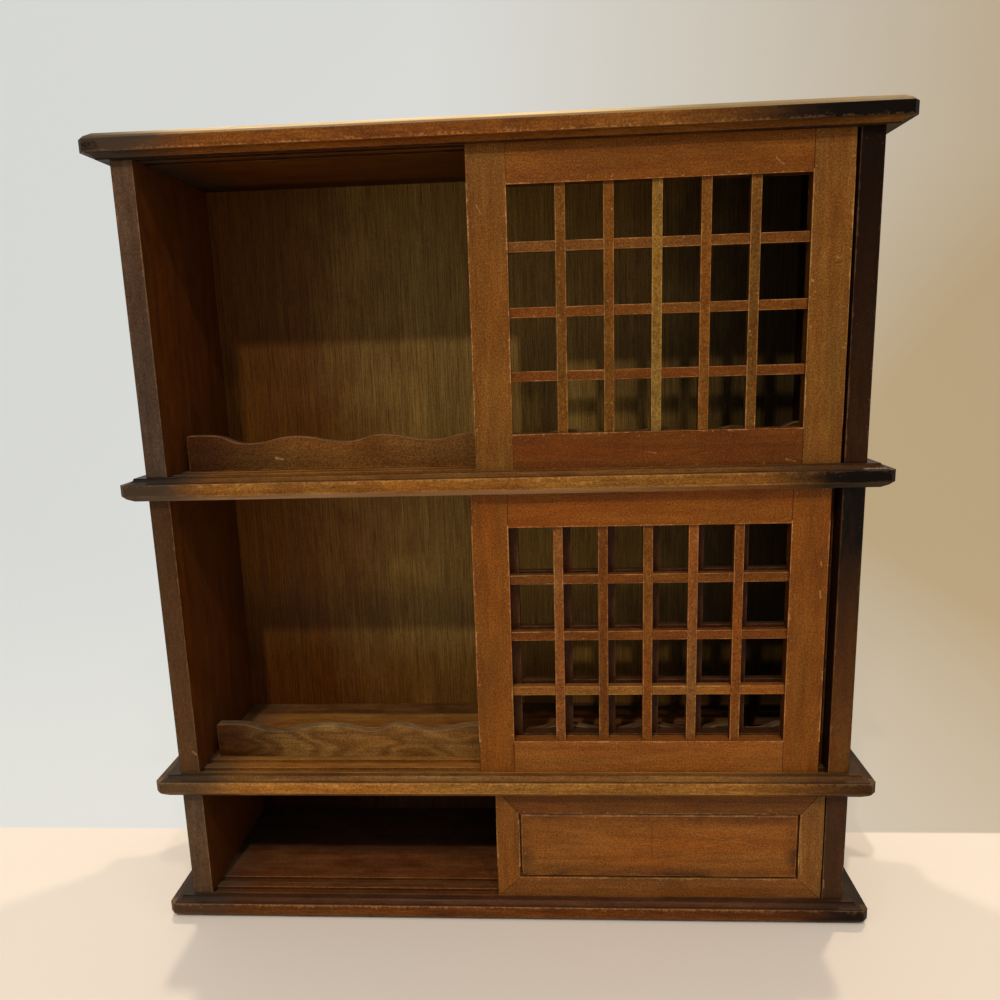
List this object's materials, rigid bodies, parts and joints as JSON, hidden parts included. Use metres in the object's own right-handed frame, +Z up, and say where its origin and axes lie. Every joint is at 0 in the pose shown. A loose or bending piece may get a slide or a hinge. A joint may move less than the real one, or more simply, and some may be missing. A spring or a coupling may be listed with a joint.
{
  "type": "three-tier mizuya cabinet",
  "caption": "Shallow wooden three-tier cabinet with moulded boards, wavy shelf rails, lattice doors and low panel doors that slide in grooves, and a nailed plywood back.",
  "frame": {"origin": "middle of the outline in plan, on the surface the cabinet stands on", "axes": "+X to the right of someone facing the doors, +Y from the doors to the back, +Z up"},
  "size_m": [0.406, 0.0996, 0.438],
  "materials": {
    "board_wood": "stained softwood, burnt darker towards the ends, satin",
    "side_wood": "dark stained softwood, satin",
    "door_wood": "orange-brown stained softwood, satin",
    "lattice_wood": "orange-brown stained softwood, satin",
    "panel_wood": "orange-brown stained softwood, satin",
    "wavy_rail_wood": "orange-brown stained softwood, satin",
    "back_plywood": "thin stained plywood, open vertical grain",
    "nail_steel": "dull steel"
  },
  "bodies": {
    "cabinet": {"back_nails": "nail_steel", "back_panel": "back_plywood", "base_board": "board_wood", "lower_left_side": "side_wood", "lower_right_side": "side_wood", "lower_shelf": "board_wood", "middle_left_side": "side_wood", "middle_right_side": "side_wood", "middle_wavy_rail": "wavy_rail_wood", "top_board": "board_wood", "upper_left_side": "side_wood", "upper_right_side": "side_wood", "upper_shelf": "board_wood", "upper_wavy_rail": "wavy_rail_wood"},
    "upper_door": {"upper_door_bottom_rail": "door_wood", "upper_door_horizontal_bar_1": "lattice_wood", "upper_door_horizontal_bar_2": "lattice_wood", "upper_door_horizontal_bar_3": "lattice_wood", "upper_door_left_stile": "door_wood", "upper_door_right_stile": "door_wood", "upper_door_top_rail": "door_wood", "upper_door_vertical_bar_1": "lattice_wood", "upper_door_vertical_bar_2": "lattice_wood", "upper_door_vertical_bar_3": "lattice_wood", "upper_door_vertical_bar_4": "lattice_wood", "upper_door_vertical_bar_5": "lattice_wood"},
    "middle_front_door": {"middle_front_door_bottom_rail": "door_wood", "middle_front_door_horizontal_bar_1": "lattice_wood", "middle_front_door_horizontal_bar_2": "lattice_wood", "middle_front_door_horizontal_bar_3": "lattice_wood", "middle_front_door_left_stile": "door_wood", "middle_front_door_right_stile": "door_wood", "middle_front_door_top_rail": "door_wood", "middle_front_door_vertical_bar_1": "lattice_wood", "middle_front_door_vertical_bar_2": "lattice_wood", "middle_front_door_vertical_bar_3": "lattice_wood", "middle_front_door_vertical_bar_4": "lattice_wood", "middle_front_door_vertical_bar_5": "lattice_wood"},
    "middle_rear_door": {"middle_rear_door_bottom_rail": "door_wood", "middle_rear_door_horizontal_bar_1": "lattice_wood", "middle_rear_door_horizontal_bar_2": "lattice_wood", "middle_rear_door_horizontal_bar_3": "lattice_wood", "middle_rear_door_left_stile": "door_wood", "middle_rear_door_right_stile": "door_wood", "middle_rear_door_top_rail": "door_wood", "middle_rear_door_vertical_bar_1": "lattice_wood", "middle_rear_door_vertical_bar_2": "lattice_wood", "middle_rear_door_vertical_bar_3": "lattice_wood", "middle_rear_door_vertical_bar_4": "lattice_wood", "middle_rear_door_vertical_bar_5": "lattice_wood"},
    "lower_front_door": {"lower_front_door_bottom_rail": "door_wood", "lower_front_door_left_stile": "door_wood", "lower_front_door_panel": "panel_wood", "lower_front_door_right_stile": "door_wood", "lower_front_door_top_rail": "door_wood"},
    "lower_rear_door": {"lower_rear_door_bottom_rail": "door_wood", "lower_rear_door_left_stile": "door_wood", "lower_rear_door_panel": "panel_wood", "lower_rear_door_right_stile": "door_wood", "lower_rear_door_top_rail": "door_wood"}
  },
  "joints": [
    {"name": "upper_door_slide", "type": "slide", "parent": "cabinet", "child": "upper_door", "axis": [1, 0, 0], "range_m": [-0.167, 0.001]},
    {"name": "middle_front_door_slide", "type": "slide", "parent": "cabinet", "child": "middle_front_door", "axis": [1, 0, 0], "range_m": [-0.1633, 0.0047]},
    {"name": "middle_rear_door_slide", "type": "slide", "parent": "cabinet", "child": "middle_rear_door", "axis": [1, 0, 0], "range_m": [-0.168, 0]},
    {"name": "lower_front_door_slide", "type": "slide", "parent": "cabinet", "child": "lower_front_door", "axis": [1, 0, 0], "range_m": [-0.1712, 0]},
    {"name": "lower_rear_door_slide", "type": "slide", "parent": "cabinet", "child": "lower_rear_door", "axis": [1, 0, 0], "range_m": [-0.1712, 0]}
  ]
}
